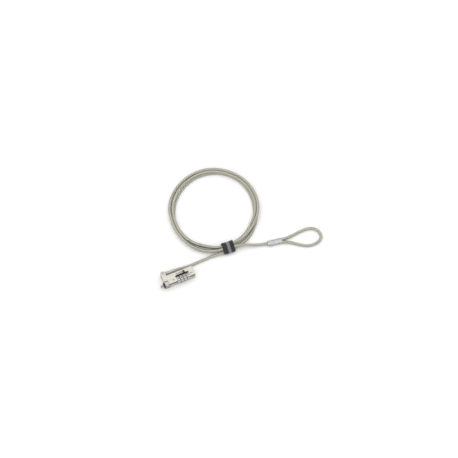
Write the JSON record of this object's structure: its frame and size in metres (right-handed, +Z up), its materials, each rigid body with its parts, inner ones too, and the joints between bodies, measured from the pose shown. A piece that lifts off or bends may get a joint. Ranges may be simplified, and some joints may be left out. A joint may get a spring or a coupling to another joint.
{
  "type": "laptop cable lock",
  "caption": "Combination cable lock for a laptop: small metal head with number dials and a T-bar nose, swivelling end fitting, coiled coated steel cable in a strap, and a ferruled end loop.",
  "frame": {"origin": "under the middle of the lock head's box, on the surface it lies on, without the cable", "axes": "+X along the head away from the T-bar, +Y from the dial side to the cable side, +Z up"},
  "size_m": [0.2722, 0.1929, 0.014],
  "materials": {
    "nickel_body": "satin nickel over a die-cast body",
    "nose_steel": "satin steel, slightly darker than the body",
    "dark_steel": "satin, darker steel",
    "spring_steel": "bright drawn steel",
    "aluminium": "bright pressed aluminium",
    "dial_plastic": "satin metallic with black digits",
    "black_plastic": "matt black moulding",
    "black_rubber": "matt black rubber",
    "cable_coat": "clear glossy vinyl over twisted steel rope, olive grey",
    "strap_fabric": "black woven hook-and-loop tape"
  },
  "bodies": {
    "lock_head": {"housing_base": "nickel_body", "housing_cover": "nickel_body", "cover_screw_1": "dark_steel", "cover_screw_2": "dark_steel", "index_dot_1": "black_plastic", "index_dot_2": "black_plastic", "nose_block": "nose_steel", "nose_washer": "black_rubber", "t_bar": "nose_steel", "slot_liner": "black_plastic", "detent_spring": "spring_steel", "pivot_pin": "dark_steel"},
    "slide": {"pin_carrier": "spring_steel", "spindle": "spring_steel", "slide_bar": "spring_steel", "thumb_slider": "nickel_body", "return_spring": "spring_steel"},
    "reset_key": {"reset_screw": "dark_steel"},
    "cable": {"cable_terminal": "aluminium", "cable_lead_to_lock": "cable_coat", "cable_coil": "cable_coat", "cable_strap": "strap_fabric", "cable_lead_to_loop": "cable_coat", "loop_ferrule": "aluminium", "cable_end_loop": "cable_coat"},
    "dial_1": {"dial_1": "dial_plastic", "dial_sleeve_1": "spring_steel"},
    "dial_2": {"dial_2": "dial_plastic", "dial_sleeve_2": "spring_steel"},
    "dial_3": {"dial_3": "dial_plastic", "dial_sleeve_3": "spring_steel"},
    "dial_4": {"dial_4": "dial_plastic", "dial_sleeve_4": "spring_steel"}
  },
  "joints": [
    {"name": "dial_1_turn", "type": "hinge", "parent": "lock_head", "child": "dial_1", "pos_m": [0.0013, -0.0082, 0.0069], "axis": [1, 0, 0], "continuous": true},
    {"name": "dial_2_turn", "type": "hinge", "parent": "lock_head", "child": "dial_2", "pos_m": [0.00685, -0.0082, 0.0069], "axis": [1, 0, 0], "continuous": true},
    {"name": "dial_3_turn", "type": "hinge", "parent": "lock_head", "child": "dial_3", "pos_m": [0.0124, -0.0082, 0.0069], "axis": [1, 0, 0], "continuous": true},
    {"name": "dial_4_turn", "type": "hinge", "parent": "lock_head", "child": "dial_4", "pos_m": [0.01795, -0.0082, 0.0069], "axis": [1, 0, 0], "continuous": true},
    {"name": "slide_travel", "type": "slide", "parent": "lock_head", "child": "slide", "axis": [1, 0, 0], "range_m": [0, 0.0026], "stiffness_N_per_m": 250, "springref_m": -0.002, "deforming": ["return_spring"]},
    {"name": "reset_turn", "type": "hinge", "parent": "lock_head", "child": "reset_key", "pos_m": [0.0277, -0.0082, 0.0069], "axis": [1, 0, 0], "range_deg": [0, 90]},
    {"name": "cable_swivel", "type": "hinge", "parent": "lock_head", "child": "cable", "pos_m": [-0.0182, 0.0104, 0.006], "axis": [0, 0, 1], "range_deg": [0, 95]}
  ]
}
